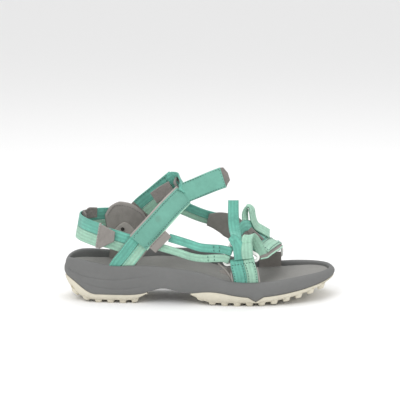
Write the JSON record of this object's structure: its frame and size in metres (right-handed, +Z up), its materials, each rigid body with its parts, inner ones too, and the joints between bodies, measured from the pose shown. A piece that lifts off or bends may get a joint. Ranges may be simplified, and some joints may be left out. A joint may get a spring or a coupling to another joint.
{
  "type": "strappy sport sandal",
  "caption": "Open sport sandal for the right foot: contoured foam sole with lugged tread, woven two-tone straps through plastic rings, and peel-open hook-and-loop flaps.",
  "frame": {"origin": "middle of the sole outline on the ground under the tread", "axes": "+X towards the toe, +Y towards the inner side of the foot, +Z up"},
  "size_m": [0.27, 0.097, 0.1293],
  "materials": {
    "eva_midsole": "matte moulded foam",
    "footbed_eva": "matte textured foam",
    "shank_board": "moulded nylon",
    "shock_pad": "soft moulded gel",
    "rubber_tread": "dusty matte rubber",
    "webbing_teal": "woven polyester webbing",
    "webbing_mint": "woven polyester webbing",
    "velour_teal": "short loop pile",
    "synthetic_grey": "fine-grained synthetic leather",
    "ring_plastic": "satin moulded plastic",
    "rivet_dark": "matte"
  },
  "bodies": {
    "sandal": {"midsole": "eva_midsole", "arch_shank": "shank_board", "heel_shock_pad": "shock_pad", "footbed": "footbed_eva", "heel_outsole": "rubber_tread", "forefoot_outsole": "rubber_tread", "outer_quarter_backing": "synthetic_grey", "outer_quarter_webbing_teal": "webbing_teal", "outer_quarter_webbing_mint": "webbing_mint", "instep_pad": "velour_teal", "instep_pad_lining": "synthetic_grey", "blank_label": "synthetic_grey", "inner_quarter_backing": "synthetic_grey", "inner_quarter_webbing_teal": "webbing_teal", "inner_quarter_webbing_mint": "webbing_mint", "instep_lining_tab": "synthetic_grey", "instep_ring": "ring_plastic", "heel_band_teal": "webbing_teal", "heel_band_mint": "webbing_mint", "heel_inner_band_teal": "webbing_teal", "heel_inner_band_mint": "webbing_mint", "heel_collar_pad": "synthetic_grey", "collar_tab": "synthetic_grey", "collar_rivet": "rivet_dark", "outer_anchor_webbing_teal": "webbing_teal", "outer_anchor_webbing_mint": "webbing_mint", "outer_anchor_backing": "synthetic_grey", "outer_ring": "ring_plastic", "outer_side_strap_teal": "webbing_teal", "outer_side_strap_mint": "webbing_mint", "inner_side_strap_teal": "webbing_teal", "inner_side_strap_mint": "webbing_mint", "toe_pad": "synthetic_grey", "toe_webbing_teal": "webbing_teal", "toe_webbing_mint": "webbing_mint", "toe_turn_teal": "webbing_teal", "toe_turn_mint": "webbing_mint", "inner_ring": "ring_plastic", "inner_anchor_webbing_mint": "webbing_mint", "inner_anchor_webbing_teal": "webbing_teal", "inner_anchor_backing": "synthetic_grey", "toe_turn_inner": "webbing_teal", "inner_wing": "synthetic_grey"},
    "instep_flap": {"instep_flap": "velour_teal", "instep_flap_tip": "synthetic_grey"},
    "heel_flap": {"heel_flap_teal": "webbing_teal", "heel_flap_mint": "webbing_mint", "heel_flap_tip": "synthetic_grey"},
    "toe_flap": {"toe_flap_teal": "webbing_teal"},
    "toe_loop": {"toe_flap_mint": "webbing_mint"}
  },
  "joints": [
    {"name": "instep_flap_peel", "type": "hinge", "parent": "sandal", "child": "instep_flap", "pos_m": [-0.0146, -0.0046, 0.104], "axis": [0.5258, -0.1879, -0.8296], "range_deg": [0, 115]},
    {"name": "heel_flap_peel", "type": "hinge", "parent": "sandal", "child": "heel_flap", "pos_m": [-0.1082, -0.0225, 0.069], "axis": [0, 0, -1], "range_deg": [0, 75]},
    {"name": "toe_flap_fold", "type": "hinge", "parent": "sandal", "child": "toe_flap", "pos_m": [0.0338, -0.0294, 0.0713], "axis": [1, 0, 0], "range_deg": [-50, 0]},
    {"name": "toe_loop_peel", "type": "hinge", "parent": "sandal", "child": "toe_loop", "pos_m": [0.0695, 0.0032, 0.0615], "axis": [0.3017, 0.8548, 0.4224], "range_deg": [0, 50]}
  ]
}
